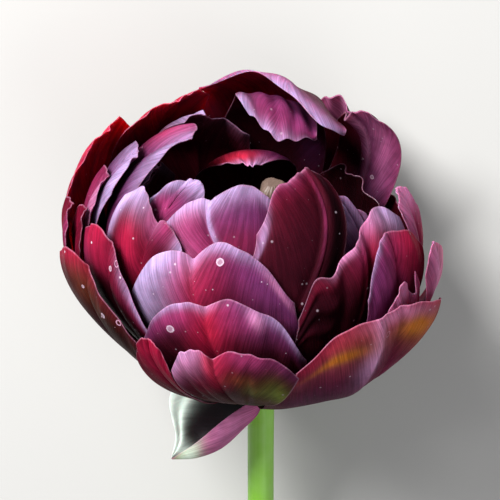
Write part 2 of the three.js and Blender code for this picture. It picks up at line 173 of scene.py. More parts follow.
PETAL_COLOURS = {
    "outer": "#45101e",  # the wine-brown ground of the outer face
    "inner": "#3d0a14",  # and of the inner face
    "deep": "#140509",  # the darkest streaks
    "plum": "#6e3166",
    "red": "#7a122e",
    "rose": "#a63a6e",
    "glow": "#d62a48",  # light that comes through
    "flush_and_glow": "#ae1c40",  # red by the midrib, the tissue's own and painted light that comes through
    "pink": "#d884b4",
    "bloom_and_sheen": "#ccb0e4",  # the grey-lavender bloom of wax, with painted sheen where light falls on the upper lobes
    "amber": "#c8742c",
    "lime": "#7f9a38",
    "white": "#e6f5e9",
    "shade": "#080203",
    "rim": "#d79cbc",  # the thin pale edge, with a painted highlight along it
    "pollen": "#ccb8c6",
    "dew": "#c99ab4",  # rings that dew has left
    "dried": "#d8bfd2",  # larger dried drops
}
TINTS = ("plum", "red", "rose", "flush_and_glow", "glow", "pink", "bloom_and_sheen", "amber", "lime", "shade", "white", "rim")


def ramp(a, b, x):
    """An S-shaped step: 0 below a, 1 above b, and 3t^2 - 2t^3 between."""
    t = np.clip((x - a) / (b - a), 0, 1)
    return t * t * (3 - 2 * t)


def through(values, t):
    """A curve through equally spaced values or points, for t from 0 to 1: the cubic whose slope at
    each is half the step between its neighbours."""
    values = np.asarray(values, float)
    last = len(values) - 1
    s = np.clip(t, 0, 1) * last
    i = np.minimum(s.astype(int), last - 1)
    f = (s - i).reshape(i.shape + (1,) * (values.ndim - 1))
    a, b, c, d = (values[np.clip(i + k, 0, last)] for k in (-1, 0, 1, 2))
    return b + 0.5 * f * (c - a + f * (2 * a - 5 * b + 4 * c - d + f * (3 * (b - c) + d - a)))


def petal_surface(u, v, level, az, wide, top, notch=0, lean=0.5, foot=0.6, grow=0.75,
                  folds=((0, 0.5, 0.14),), puff=0.4, tip=0, curl=None, curl_from=0.82,
                  margin=(0, 0), ruffle=(0.25, 2), swells=(), crease=0.45, frill=0.1, nick=0.15,
                  corner=4, phase=0.0):
    """The middle of a petal: u runs from its foot to its tip, v from its left edge, -1, to 1.

    Latitude grows evenly with u from the foot to the tip edge, whose latitudes are `top` with a
    cleft of `notch` degrees at the midrib, uneven nicks of about `nick` degrees, and corners
    rounded by `corner` degrees. Azimuth is the midrib's, which turns from u = `lean` on, plus v
    times the width in degrees `wide`, which grows from the share `foot` of it until u = `grow`.
    Both are read on the ellipsoid of the petal's `level`, which may change from foot to tip. The
    point then moves out along the ellipsoid's normal, in millimetres: by `tip` near the tip, by
    `curl` at the tip edge from u = `curl_from` on and by `margin` at the sides, less the grooves
    `folds` (v, depth, width) and a narrow `crease` on the midrib, plus the cushions `puff` beside
    it, the `swells` (v, u, height, width in v, width in u), the waves `ruffle` (height, number) of
    the edge and its fine `frill`. `phase` shifts the nicks and the frill."""
    def pair(x):
        """One value for both, or the two that are given."""
        return tuple(x) if np.ndim(x) else (x, x)

    side = np.abs(v)
    right = v >= 0
    level0, level1 = pair(level)
    depth = level0 + (level1 - level0) * ramp(0.4, 1, u)
    a = SHELL_RADIUS - LEVEL_RADIUS * depth
    c = SHELL_HALF_HEIGHT - LEVEL_HALF_HEIGHT * depth
    middle = c + LEVEL_RISE * depth

    nicks = np.sin(11 * v + 5 * phase) + 0.7 * np.sin(27 * v + 9 * phase)
    tip_latitude = through(top, (v + 1) / 2) - notch * np.exp(-side / 0.09) + nick * nicks - corner * side**6
    foot_latitude = -np.degrees(np.arccos(FOOT_RADIUS / (SHELL_RADIUS - LEVEL_RADIUS * level0)))
    latitude = foot_latitude + (tip_latitude - foot_latitude) * u
    az0, az1 = pair(az)
    share = np.where(right, pair(foot)[1], pair(foot)[0])
    width = np.where(right, wide[1], wide[0]) * (share + (1 - share) * ramp(0.1, grow, u))
    azimuth = az0 + (az1 - az0) * ramp(lean, 1, u) + v * width

    upper = ramp(0.3, 0.9, u)
    out = tip * ramp(0.6, 1, u) ** 2 + puff * np.sin(np.pi * side) * upper
    for at, deep, broad in (*folds, (0, crease, 0.03)):
        out = out - deep * np.exp(-(((v - at) / broad) ** 2)) * upper
    for at_v, at_u, high, wide_v, wide_u in swells:
        out = out + high * np.exp(-(((v - at_v) / wide_v) ** 2) - ((u - at_u) / wide_u) ** 2)
    if curl is not None:
        out = out + through(curl, (v + 1) / 2) * ramp(curl_from, 1, u) ** 1.3
    out = out + np.where(right, *margin[::-1]) * ramp(0.4, 1, side) ** 1.5 * ramp(0.2, 0.7, u)
    edge = np.maximum(ramp(0.65, 1, side) * ramp(0.3, 0.7, u), ramp(0.8, 1, u))
    height, waves = ruffle
    out = out + height * edge * np.sin(2 * np.pi * waves * (v + 0.7 * u))
    out = out + frill * edge**2 * np.sin(2 * np.pi * 4.3 * (v + 0.5 * u) + 3 * phase)
    turn = (azimuth + 180) % 360 - 180
    away = ((turn - DENT_AT[0]) / DENT_REACH[0]) ** 2 + ((latitude - DENT_AT[1]) / DENT_REACH[1]) ** 2
    out = out - DENT_DEPTH * np.exp(-away)

    la, aa = np.radians(latitude), np.radians(azimuth)
    normal = np.stack([np.cos(la) / a * np.sin(aa), -np.cos(la) / a * np.cos(aa), np.sin(la) / c], -1)
    normal /= np.linalg.norm(normal, axis=-1, keepdims=True)
    on_shell = np.stack([a * np.cos(la) * np.sin(aa), -a * np.cos(la) * np.cos(aa),
                         middle + c * np.sin(la)], -1)
    return on_shell + out[..., None] * normal


def grid_lines(count=GRID):
    """Parameters of a blade's lines, closer together towards its edges: u from 0 to 1 as the sine of
    an even angle blended with an even row, and v likewise from -1 to 1."""
    t = np.linspace(0, 1, count)
    u = 0.5 * t + 0.5 * np.sin(np.pi / 2 * t)
    s = np.linspace(-1, 1, count)
    v = 0.6 * s + 0.4 * np.sin(np.pi / 2 * s)
    return np.meshgrid(u, v, indexing="ij")


def lengths(points, axis):
    """Distance along a grid's lines from their start."""
    steps = np.linalg.norm(np.diff(points, axis=axis), axis=-1)
    steps = np.insert(steps, 0, 0, axis=axis)
    return np.cumsum(steps, axis=axis)


def mesh_object(name, points, face_groups, attributes=None):
    """A smooth-shaded mesh object at the origin. Points are in millimetres, each group of faces is an
    array of rows of point numbers, and each attribute holds one number or three for each point."""
    mesh = bpy.data.meshes.new(name)
    numbers = np.concatenate([group.ravel() for group in face_groups]).astype(np.int32)
    sizes = np.concatenate([np.full(len(group), group.shape[1]) for group in face_groups])
    mesh.vertices.add(len(points))
    mesh.vertices.foreach_set("co", (points * METRES).astype(np.float32).ravel())
    mesh.loops.add(len(numbers))
    mesh.loops.foreach_set("vertex_index", numbers)
    mesh.polygons.add(len(sizes))
    mesh.polygons.foreach_set("loop_start", (np.cumsum(sizes) - sizes).astype(np.int32))
    mesh.update(calc_edges=True)
    for key, values in (attributes or {}).items():
        values = np.asarray(values, np.float32)
        made = mesh.attributes.new(key, "FLOAT_VECTOR" if values.ndim == 2 else "FLOAT", "POINT")
        made.data.foreach_set("vector" if values.ndim == 2 else "value", values.ravel())
    mesh.shade_smooth()
    made = bpy.data.objects.new(name, mesh)
    bpy.context.collection.objects.link(made)
    return made


def blade_faces(rows, cols):
    """Quads of a closed blade: the outer grid, the inner grid turned round, and the rim that joins
    them, walked once round the grid."""
    at = np.arange(rows * cols).reshape(rows, cols)
    a, b, c, d = at[:-1, :-1], at[:-1, 1:], at[1:, 1:], at[1:, :-1]
    outer = np.stack([a, b, c, d], -1).reshape(-1, 4)
    rim = np.concatenate([at[0, :-1], at[:-1, -1], at[-1, :0:-1], at[:0:-1, 0]])
    after = np.roll(rim, -1)
    inner = rows * cols
    walls = np.stack([rim, rim + inner, after + inner, after], -1)
    return np.concatenate([outer, outer[:, ::-1] + inner, walls])


def petal_tissue():
    """Petal: soft tissue with a cuticle of wax, as it grew. The wax gives a satin gloss, and its
    grey-lavender bloom, brightened by painted sheen where light falls on the upper lobes, is greyest on
    the outer face. Veins leave the midrib as fine slanting lines, light that enters one face comes
    out red at the other, and specks of pollen and dried dew lie on the outer petals. Painted shade,
    painted light that comes through by the midribs and on backlit faces, and a painted highlight along
    the rims are part of the colour too."""
    VEIN_SPACING = 0.45  # drawn about half as coarse again as they are, to show at this distance
    VEIN_LENGTH = 12
    STREAK_SPACING = 2.4
    STREAK_LENGTH = 40
    MOTTLE = 5.0
    CELL = 0.28
    SPECK_SPACING = 2.4
    SPECK_RADIUS = 0.22
    DROP_SPACING = 12
    DROP_RADIUS = 0.8
    RELIEF = 0.06
    LIGHT_REACH = 1.4  # how far light runs inside the tissue
    material = bpy.data.materials.new("petal_tissue")
    material.use_nodes = True
    tree = material.node_tree
    shader = tree.nodes["Principled BSDF"]
    colours = {name: linear(colour) for name, colour in PETAL_COLOURS.items()}

    # What add_blade paints on the points of a blade
    painted = {}
    for name in ("grain", "inside", "specks", "gloss", "sheer", "mark", *TINTS):
        attribute = add_node(tree, "ShaderNodeAttribute", attribute_name=name)
        painted[name] = attribute.outputs["Vector" if name == "grain" else "Fac"]

    # Noise along the veins and in the round, with the points that specks and drops lie at
    where = add_node(tree, "ShaderNodeTexCoord").outputs["Object"]
    noise = {}
    for name, spacing, length, detail in (("veins", VEIN_SPACING, VEIN_LENGTH, 2.0),
                                          ("streaks", STREAK_SPACING, STREAK_LENGTH, 3.0)):
        along = add_node(tree, "ShaderNodeMapping", {
            "Vector": painted["grain"], "Scale": (1 / spacing, 1 / length, 1)})
        noise[name] = add_node(tree, "ShaderNodeTexNoise", {"Vector": along, "Scale": 1.0, "Detail": detail})
    for name, size, detail in (("mottle", MOTTLE, 3.0), ("cells", CELL, 1.0)):
        noise[name] = add_node(tree, "ShaderNodeTexNoise", {
            "Vector": where, "Scale": 1 / (size * METRES), "Detail": detail})
    points, drops = (
        add_node(tree, "ShaderNodeTexVoronoi", {"Vector": where, "Scale": 1 / (spacing * METRES)})
        for spacing in (SPECK_SPACING, DROP_SPACING))
    off_ring = add_node(tree, "ShaderNodeMath", {
        0: drops.outputs["Distance"], 1: DROP_RADIUS / DROP_SPACING, 2: 0.01}, operation="COMPARE")
    mark = add_node(tree, "ShaderNodeMath", {
        0: noise["mottle"], 1: 0.6, 2: painted["mark"]}, operation="MULTIPLY_ADD")

    # Each row: a name, the value that is read, its range, and the range that it becomes
    ranged = {}
    for name, value, low, high, to_low, to_high in (
            ("lines", noise["veins"], 0.4, 0.6, 0.0, 1.0),
            ("broad", noise["streaks"], 0.35, 0.65, 0.0, 1.0),
            ("clouds", noise["mottle"], 0.45, 0.75, 0.0, 0.3),
            # The rim's pale edge and painted highlight come and go in patches.
            ("patchy rim and highlight", noise["mottle"], 0.35, 0.65, 0.2, 1.0),
            ("satin", noise["mottle"], 0.3, 0.7, 0.38, 0.48),
            ("line strength", painted["white"], 0.0, 1.0, 0.32, 0.08),
            ("broad strength", painted["white"], 0.0, 1.0, 0.27, 0.05),
            ("speck shrinks", points.outputs["Color"], 0.2, 0.8, 2.2, 0.6),
            ("drop shows", drops.outputs["Color"], 0.4, 0.5, 0.0, 0.6),
            ("in mark", mark, 1.15, 1.3, 1.0, 0.0),
            ("mark edge", mark, 0.8, 1.15, 0.3, 0.75)):
        ranged[name] = add_node(tree, "ShaderNodeMapRange", {
            "Value": value, "From Min": low, "From Max": high, "To Min": to_low, "To Max": to_high})

    # Each row: a name and the two values whose product it is
    product = {}
    for name, a, b in (("rim", painted["rim"], ranged["patchy rim and highlight"]),
                       ("lines", ranged["lines"], ranged["line strength"]),
                       ("broad", ranged["broad"], ranged["broad strength"]),
                       ("apart", points.outputs["Distance"], ranged["speck shrinks"]),
                       ("ring", off_ring, ranged["drop shows"]),
                       ("dried", ranged["in mark"], ranged["mark edge"]),
                       ("smoother", painted["inside"], 0.1)):
        product[name] = add_node(tree, "ShaderNodeMath", {0: a, 1: b}, operation="MULTIPLY", use_clamp=True)
    near = add_node(tree, "ShaderNodeMapRange", {
        "Value": product["apart"], "From Min": 0.5 * SPECK_RADIUS / SPECK_SPACING,
        "From Max": SPECK_RADIUS / SPECK_SPACING, "To Min": 1.0, "To Max": 0.0})
    pollen, dew = (
        add_node(tree, "ShaderNodeMath", {0: shape, 1: painted["specks"]},
                 operation="MULTIPLY", use_clamp=True)
        for shape in (near, product["ring"]))

    # The ground of the two faces, with one layer of colour over another
    colour = add_node(tree, "ShaderNodeMix", {
        0: painted["inside"], 6: colours["outer"], 7: colours["inner"]}, data_type="RGBA")
    for amount, name in (*((painted[name], name) for name in TINTS[:-1]), (product["rim"], "rim"),
                         (product["lines"], "deep"), (product["broad"], "deep"), (ranged["clouds"], "deep"),
                         (pollen, "pollen"), (dew, "dew"), (product["dried"], "dried")):
        colour = add_node(tree, "ShaderNodeMix", {0: amount, 6: colour, 7: colours[name]}, data_type="RGBA")

    satin = add_node(tree, "ShaderNodeMath", {
        0: ranged["satin"], 1: product["smoother"]}, operation="SUBTRACT", use_clamp=True)
    relief = add_node(tree, "ShaderNodeMath", {0: ranged["lines"], 1: ranged["broad"]}, operation="ADD")
    relief = add_node(tree, "ShaderNodeMath", {
        0: noise["cells"], 1: 2.0, 2: relief}, operation="MULTIPLY_ADD")
    bump = add_node(tree, "ShaderNodeBump", {
        "Height": relief, "Strength": 0.5, "Distance": RELIEF * METRES})
    for source, name in ((colour.outputs[2], "Base Color"), (satin.outputs[0], "Roughness"),
                         (bump.outputs[0], "Normal"), (painted["gloss"], "Coat Weight"),
                         (painted["sheer"], "Subsurface Weight")):
        tree.links.new(source, shader.inputs[name])
    shader.inputs["IOR"].default_value = 1.4
    shader.inputs["Specular IOR Level"].default_value = 0.012
    shader.inputs["Specular Tint"].default_value = linear("#e8dcff")
    shader.inputs["Coat Roughness"].default_value = 0.14
    shader.inputs["Subsurface Radius"].default_value = (1.0, 0.18, 0.22)
    shader.inputs["Subsurface Scale"].default_value = LIGHT_REACH * METRES
    return material


PETAL = petal_tissue()
RIM_WIDTH = 0.2
RIM_STRENGTH = 0.5
RIM_IN_SHADE = 0.2  # the share of the rim's pale edge and painted highlight that is left where a petal has painted shade
BLOOM_AND_SHEEN_INSIDE = 0.15  # the share of the outer face's wax bloom and painted sheen that the inner face has
VEIN_SLANT = 0.5
GRAIN_SHIFT = 13.7  # from one petal's veins to the next one's
NO_MARK = 3  # radii from a dried drop at which nothing of it shows
phase = 0


def add_blade(name, middle, tints, inside=(), floor=None, specks=0.3, gloss=0, sheer=0.14, marks=()):
    """A petal's piece round its middle surface, from the flower's own frame.

    The outer and inner faces stand off along the grid's normals by half the thickness, which thins
    towards the rim. A tint (name, v, u, width in v, width in u, strength) paints a soft spot on both
    faces, or with `inside` on the inner one alone; the wax bloom and painted sheen of the outer face
    are faint inside.
    `grain` holds a place across and along the veins, which slant away from the midrib, `sheer` the
    share of light that goes through, and `mark` the distance from the nearest dried drop of `marks`
    (v, u, radius) in its radii."""
    u, v = grid_lines(len(middle))
    points = laid(middle)
    if floor is not None:
        points[..., 2] = np.maximum(points[..., 2], floor)
    normal = np.cross(np.gradient(points, axis=1), np.gradient(points, axis=0))
    normal /= np.linalg.norm(normal, axis=-1, keepdims=True)
    if floor is not None:
        normal[points[..., 2] <= floor] = (0, 0, -1)
    across, along = lengths(points, 1), lengths(points, 0)
    to_rim = np.minimum(np.minimum(across, across[:, -1:] - across), along[-1:] - along)
    half = 0.5 * (EDGE_THICKNESS + (BLADE_THICKNESS - EDGE_THICKNESS) * ramp(0, THINS_OVER, to_rim))
    half = np.where(points[..., 2] < 1, np.maximum(half, FLOOR_HALF), half)[..., None]
    side = np.abs(v) * across[:, -1].max() / 2
    grain = np.stack([np.sign(v) * (side - VEIN_SLANT * along), along + VEIN_SLANT * side,
                      np.full_like(u, GRAIN_SHIFT * phase)], -1)
    faces = [points + half * normal, points - half * normal]
    attributes = {"grain": [grain, grain], "inside": [np.zeros_like(u), np.ones_like(u)],
                  "specks": [np.full_like(u, specks), np.full_like(u, specks)],
                  "gloss": [np.zeros_like(u), np.full_like(u, gloss)],
                  "sheer": [np.full_like(u, sheer), np.full_like(u, sheer)]}
    mark = np.full_like(u, NO_MARK)
    for at_v, at_u, radius in marks:
        spot = points[np.abs(u[:, 0] - at_u).argmin(), np.abs(v[0] - at_v).argmin()]
        mark = np.minimum(mark, np.linalg.norm(points - spot, axis=-1) / radius)
    attributes["mark"] = [mark, mark]
    for tint in TINTS[:-1]:
        amounts = []
        for spots in (tints, (*tints, *inside)):
            total = np.zeros_like(u)
            for kind, at_v, at_u, wide_v, wide_u, strength in spots:
                if kind == tint:
                    total += strength * np.exp(-(((v - at_v) / wide_v) ** 2) - ((u - at_u) / wide_u) ** 2)
            amounts.append(np.clip(total, 0, 1))
        # The wax bloom and its painted sheen are faint on the inner face.
        if tint == "bloom_and_sheen":
            amounts[1] = BLOOM_AND_SHEEN_INSIDE * amounts[1]
        attributes[tint] = amounts
    # The rim: a thin pale edge with a painted highlight along it, faint towards the foot and under painted
    # shade.
    rim = RIM_STRENGTH * np.exp(-((to_rim / RIM_WIDTH) ** 2)) * ramp(0.4, 0.75, u)
    attributes["rim"] = [rim * (1 - (1 - RIM_IN_SHADE) * shade) for shade in attributes["shade"]]
    joined = {key: np.concatenate([x.reshape(u.size, -1).squeeze() for x in pair])
              for key, pair in attributes.items()}
    vertices = np.concatenate([x.reshape(-1, 3) for x in faces])
    piece = mesh_object(name + "_blade", vertices, [blade_faces(*u.shape)], joined)
    piece.data.materials.append(PETAL)
    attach(piece, "root")
    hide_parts(name)
    return piece


def add_petal(name, tints=(), inside=(), floor=None, specks=0.3, gloss=0, sheer=0.14, marks=(), **shape):
    """One petal of the bloom, in its own phase of the fine waves."""
    global phase
    phase += 1
    middle = petal_surface(*grid_lines(), phase=phase, **shape)
    add_blade(name, middle, tints, inside, floor, specks, gloss, sheer, marks)


# In the tints below, the grey-lavender wax bloom also paints sheen where light falls on the upper lobes.
add_petal("petal_front_low", level=(0.6, -2.2), az=(-5, -10.5), wide=(12, 27), foot=(0.7, 0.05),
          grow=1.25, top=(-4, 2, 3.5, 3.5, 4, 4.5, 3.5, 1, -4), notch=5,
          folds=((0, 0.6, 0.1), (-0.5, 0.4, 0.08), (-0.8, 0.4, 0.07), (0.45, 0.5, 0.06)), puff=0.8, nick=0.3,
          tints=(("pink", -0.65, 1, 0.4, 0.1, 1.25), ("bloom_and_sheen", -0.75, 1, 0.3, 0.05, 0.4),
                 ("flush_and_glow", -0.03, 0.94, 0.24, 0.12, 1.1), ("glow", -0.12, 0.96, 0.12, 0.07, 0.9),
                 ("rose", 0.35, 1, 0.3, 0.06, 0.9), ("plum", 0.8, 1, 0.3, 0.05, 0.4),
                 ("red", -0.4, 0.8, 0.4, 0.08, 0.7), ("amber", 0.3, 0.86, 0.25, 0.04, 0.15),
                 ("lime", 0.9, 0.82, 0.25, 0.08, 0.5), ("lime", 0.5, 0.78, 0.2, 0.06, 0.2),
                 ("shade", 0, 0.74, 0.5, 0.07, 0.6), ("shade", -0.4, 0.6, 0.6, 0.1, 0.5),
                 ("shade", 0.5, 0.56, 0.5, 0.1, 0.5)))
add_petal("petal_front_low_left", level=(0, -1.6), az=(-24, -30), wide=(5, 7), foot=0.9,
          top=(-7, 0, 1, 0, -8), tints=(("flush_and_glow", 0.3, 0.97, 0.9, 0.14, 0.9), ("red", 0, 0.8, 1, 0.2, 0.6)))
add_petal("petal_front_second", level=(2.6, 1.7), az=(-8, -14.8), wide=(23, 33), foot=(0.9, 0.6), notch=3,
          puff=0.8, folds=((0, 0.8, 0.12), (0.62, 0.6, 0.08)), swells=((0.5, 0.96, 0.6, 0.09, 0.06),),
          top=(-7, 4, 12, 15, 16, 18.5, 14.5, 8.5, -7), specks=0.6, marks=((-0.48, 0.895, 1),),
          tints=(("plum", -0.7, 0.97, 0.5, 0.06, 0.7), ("rose", -0.45, 0.95, 0.45, 0.06, 0.7),
                 ("bloom_and_sheen", -0.4, 1, 0.4, 0.025, 0.6), ("pink", 0, 1, 0.12, 0.03, 0.6),
                 ("flush_and_glow", -0.02, 0.88, 0.24, 0.16, 0.9), ("glow", 0.03, 0.9, 0.08, 0.1, 0.5),
                 ("plum", 0.5, 0.97, 0.6, 0.09, 0.8), ("rose", 0.3, 0.92, 0.25, 0.07, 0.4),
                 ("pink", 0.5, 0.97, 0.07, 0.04, 0.9), ("bloom_and_sheen", 0.8, 1, 0.3, 0.04, 0.5),
                 ("shade", -0.95, 0.84, 0.25, 0.1, 0.5), ("shade", 0.4, 0.78, 0.5, 0.06, 0.4)))
add_petal("petal_front_third", level=4.3, az=(-12, -23.3), wide=(24, 39), foot=(0.9, 0.6), notch=3.5,
          puff=0.9, folds=((0, 0.9, 0.12),), specks=0.6, marks=((0.29, 0.935, 0.95),),
          top=(8, 21, 27.5, 30.5, 31.5, 37, 34.5, 28.5, 16),
          tints=(("plum", 0.6, 0.93, 0.6, 0.16, 0.8), ("rose", -0.2, 0.93, 0.25, 0.16, 0.8),
                 ("red", 0.12, 0.86, 0.35, 0.16, 0.8), ("flush_and_glow", -0.02, 0.88, 0.14, 0.14, 0.7),
                 ("bloom_and_sheen", -0.6, 1, 0.42, 0.08, 0.95), ("bloom_and_sheen", -0.85, 0.86, 0.4, 0.14, 0.6),
                 ("pink", 0.02, 1, 0.1, 0.04, 0.7), ("bloom_and_sheen", 0.35, 1, 0.35, 0.03, 0.6),
                 ("pink", 0.85, 0.97, 0.12, 0.03, 0.5), ("shade", 0.35, 0.8, 0.4, 0.07, 0.4)))
add_petal("petal_front_fourth", level=7.4, az=(-4, -27), lean=0.7, wide=(22, 44), foot=(0.6, 0.2),
          grow=0.95, top=(34, 44, 51, 54.5, 60, 61, 56), notch=2, folds=((-0.08, 0.8, 0.1),),
          swells=((-0.08, 0.9, -0.3, 0.06, 0.1),), puff=0.7,
          tints=(("rose", -0.5, 0.9, 0.5, 0.12, 0.8), ("plum", 0.4, 0.92, 0.6, 0.12, 0.7),
                 ("bloom_and_sheen", -0.1, 1, 1.1, 0.045, 0.75), ("red", 0.1, 0.84, 0.4, 0.05, 0.6),
                 ("pink", -0.5, 0.99, 0.3, 0.05, 0.3), ("bloom_and_sheen", 0, 0.91, 0.035, 0.08, 0.8),
                 ("pink", -0.8, 0.86, 0.25, 0.06, 0.4)))
add_petal("petal_front_fifth", level=9.2, az=-54, wide=(20, 20), top=(36, 52, 58, 58.5, 56), puff=0.7,
          folds=((-0.3, 0.9, 0.12), (0.35, 0.5, 0.1)),
          tints=(("plum", 0, 0.92, 1.2, 0.08, 0.6), ("bloom_and_sheen", 0, 1, 1.2, 0.05, 0.8),
                 ("bloom_and_sheen", -0.85, 0.96, 0.2, 0.08, 0.7), ("rose", -0.3, 0.87, 0.6, 0.06, 0.9)))
add_petal("petal_heart_left", level=5.6, az=(-48, -48.5), wide=(27, 24), foot=0.4, grow=1, puff=0.9,
          top=(38, 43, 43, 40, 38, 38, 36, 32, 24), notch=3, folds=((0, 1.2, 0.09), (0.3, -0.5, 0.1)),
          specks=0.6,
          tints=(("red", 0, 0.75, 1.2, 0.2, 0.9), ("flush_and_glow", -0.3, 0.85, 0.25, 0.07, 0.8),
                 ("rose", 0.2, 0.98, 0.4, 0.05, 0.7), ("bloom_and_sheen", -0.75, 1, 0.42, 0.07, 0.9),
                 ("bloom_and_sheen", -0.95, 0.88, 0.15, 0.1, 0.6), ("bloom_and_sheen", 0.85, 0.98, 0.2, 0.06, 0.8),
                 ("pink", 0.1, 1, 0.15, 0.04, 0.6), ("shade", 0.45, 0.88, 0.25, 0.05, 0.5)))
# The thin rose line along its raised ridge is a painted highlight.
add_petal("petal_heart_right", level=5.6, az=(13, 42), wide=(39, 9), foot=(0.8, 0.6), crease=0.15,
          top=(44, 57, 60, 61.5, 61.5, 60, 56), curl=(0, 0, 0, 0, 0.5, 1.2, 1.5), curl_from=0.5,
          folds=((0.25, -0.6, 0.06), (0.1, 0.4, 0.12)), puff=0.3, nick=0.3,
          tints=(("red", -0.4, 1, 1, 0.1, 0.4), ("rose", 0.24, 0.86, 0.03, 0.1, 0.5),
                 ("rose", -0.95, 0.9, 0.12, 0.25, 0.4), ("pink", -0.3, 1.005, 0.7, 0.012, 0.6),
                 ("rose", -0.3, 1, 0.5, 0.03, 0.35), ("bloom_and_sheen", -0.9, 0.95, 0.1, 0.1, 0.4),
                 ("shade", 0.8, 0.85, 0.3, 0.35, 1), ("shade", -0.1, 0.72, 0.9, 0.12, 0.5),
                 ("shade", -0.1, 0.9, 0.4, 0.1, 0.45)))
add_petal("petal_heart_flange", level=7.9, az=60, wide=(18, 11), top=(47, 48, 45, 33, 14), ruffle=(0.9, 2.5),
          tints=(("plum", -0.1, 0.9, 1, 0.4, 0.9), ("rose", 0.3, 0.95, 0.6, 0.15, 0.5),
                 ("bloom_and_sheen", -0.2, 0.95, 0.9, 0.14, 0.6), ("shade", 0.6, 0.72, 0.4, 0.12, 0.5)), gloss=0.6)

# Petals on the right
# Outer petals that cup the side of the bloom: a large low one with a yellow flame, a folded one with
# a rolled rim, and the tall one at the back, creased along its midrib.
add_petal("petal_right_low", level=(-0.6, -1.3), az=(46, 49), wide=(35, 36), foot=(1.2, 0.6), grow=1.25,
          margin=(0.3, -0.8), top=(-5, 6.5, 6.5, 4, -1, -9, -22), puff=1.6,
          folds=((-0.12, 0.9, 0.16), (-0.29, -0.9, 0.06)),
          swells=((-1, 0.72, -2, 0.5, 0.25), (-0.15, 0.62, 1.5, 0.35, 0.14)), specks=0.5,
          tints=(("red", 0, 0.9, 1.2, 0.3, 0.4), ("flush_and_glow", -0.5, 0.97, 0.5, 0.07, 0.9),
                 ("rose", -0.4, 0.9, 0.6, 0.12, 0.5), ("amber", -0.62, 0.875, 0.2, 0.03, 0.95),
                 ("amber", -0.4, 0.9, 0.4, 0.1, 0.25), ("amber", 0.18, 0.89, 0.2, 0.05, 0.95),
                 ("pink", -0.29, 0.86, 0.06, 0.16, 1), ("pink", -0.15, 0.98, 0.3, 0.04, 0.8),
                 ("bloom_and_sheen", -0.3, 0.8, 0.12, 0.12, 0.35), ("rose", 0.4, 0.62, 0.5, 0.2, 0.4),
                 ("plum", -0.6, 0.6, 0.4, 0.15, 0.4), ("glow", 0.2, 1, 0.4, 0.03, 0.6),
                 ("pink", 0.22, 0.95, 0.25, 0.05, 0.5), ("amber", 0.42, 0.86, 0.3, 0.1, 0.45),
                 ("shade", 0.1, 0.75, 0.35, 0.1, 0.25), ("shade", -0.5, 0.6, 0.4, 0.1, 0.4)))
add_petal("petal_right_small", level=0.3, az=56, wide=(12, 6), top=(0, 5, 8, 9, 3, 2, 10, 3), sheer=0.4,
          tints=(("rose", 0, 0.97, 1, 0.12, 1), ("flush_and_glow", 0, 0.85, 1, 0.1, 0.8),
                 ("pink", -0.3, 0.97, 0.8, 0.08, 0.7)))
add_petal("petal_right_outer", level=(0.6, -0.9), az=(74, 77), wide=(12.5, 13),
          top=(9, 13, 10, 1, -9), ruffle=(0.1, 1), nick=0, frill=0.03, curl=(-0.8,) * 5, sheer=0.5,
          tints=(("rose", 0, 0.9, 1, 0.3, 1), ("pink", 0.2, 0.95, 1, 0.25, 1),
                 ("red", -0.8, 0.8, 0.4, 0.3, 0.6), ("amber", 0.5, 0.9, 0.5, 0.2, 0.3)),
          inside=(("pink", 0, 0.9, 1, 0.4, 0.5),))
add_petal("petal_right_second", level=1.7, az=(50, 57), wide=(17, 18), puff=0.8,
          top=(12, 22, 26.5, 27, 24, 19, 10), specks=0.6,
          tints=(("plum", -0.5, 0.9, 0.6, 0.2, 0.9), ("flush_and_glow", 0.45, 0.97, 0.5, 0.08, 0.8),
                 ("rose", -0.05, 0.98, 0.4, 0.05, 0.9), ("red", 0.3, 0.88, 0.6, 0.1, 0.8),
                 ("bloom_and_sheen", -0.6, 1, 0.5, 0.02, 0.5), ("rose", -0.4, 0.88, 0.4, 0.08, 0.3)))
# The bright pink along its rolled rim is its own pink brightened as a painted highlight.
add_petal("petal_right_folded", level=3.2, az=(34, 44), wide=(28, 28), foot=0.5, puff=0.5,
          top=(10, 21.5, 20.5, 26, 28.5, 33, 35.5, 34, 28), folds=((-0.32, 1.1, 0.1), (0.2, 0.7, 0.1)),
          swells=((-0.75, 0.96, 0.7, 0.3, 0.02), (-0.7, 0.88, 0.8, 0.3, 0.025), (-0.6, 0.79, 0.6, 0.3, 0.025),
                  (0, 0.95, 0.6, 0.1, 0.1)),
          tints=(("red", 0.1, 0.95, 0.3, 0.1, 0.9), ("flush_and_glow", 0.35, 0.88, 0.25, 0.1, 1),
                 ("rose", 0.25, 0.98, 0.3, 0.06, 1), ("pink", 0.45, 1, 0.3, 0.04, 0.8),
                 ("bloom_and_sheen", 0.8, 0.98, 0.3, 0.06, 0.8), ("pink", 0.75, 0.96, 0.3, 0.09, 0.7),
                 ("shade", -0.3, 0.8, 0.8, 0.12, 0.6), ("pink", -0.2, 1, 0.25, 0.02, 1.4),
                 ("shade", -0.85, 0.9, 0.4, 0.07, 0.6), ("red", -0.7, 0.97, 0.3, 0.03, 0.5)))
add_petal("petal_right_third", level=2.6, az=(76, 82), wide=(10, 9), top=(28, 31, 31.5, 27, 16), sheer=0.5,
          tints=(("rose", 0, 0.9, 1, 0.2, 1), ("flush_and_glow", 0.4, 0.85, 0.6, 0.15, 0.8),
                 ("pink", 0, 0.98, 1, 0.1, 1)))
add_petal("petal_right_under", level=2.3, az=114, wide=(18, 22), top=(-10, -5, -5, -5, -10))
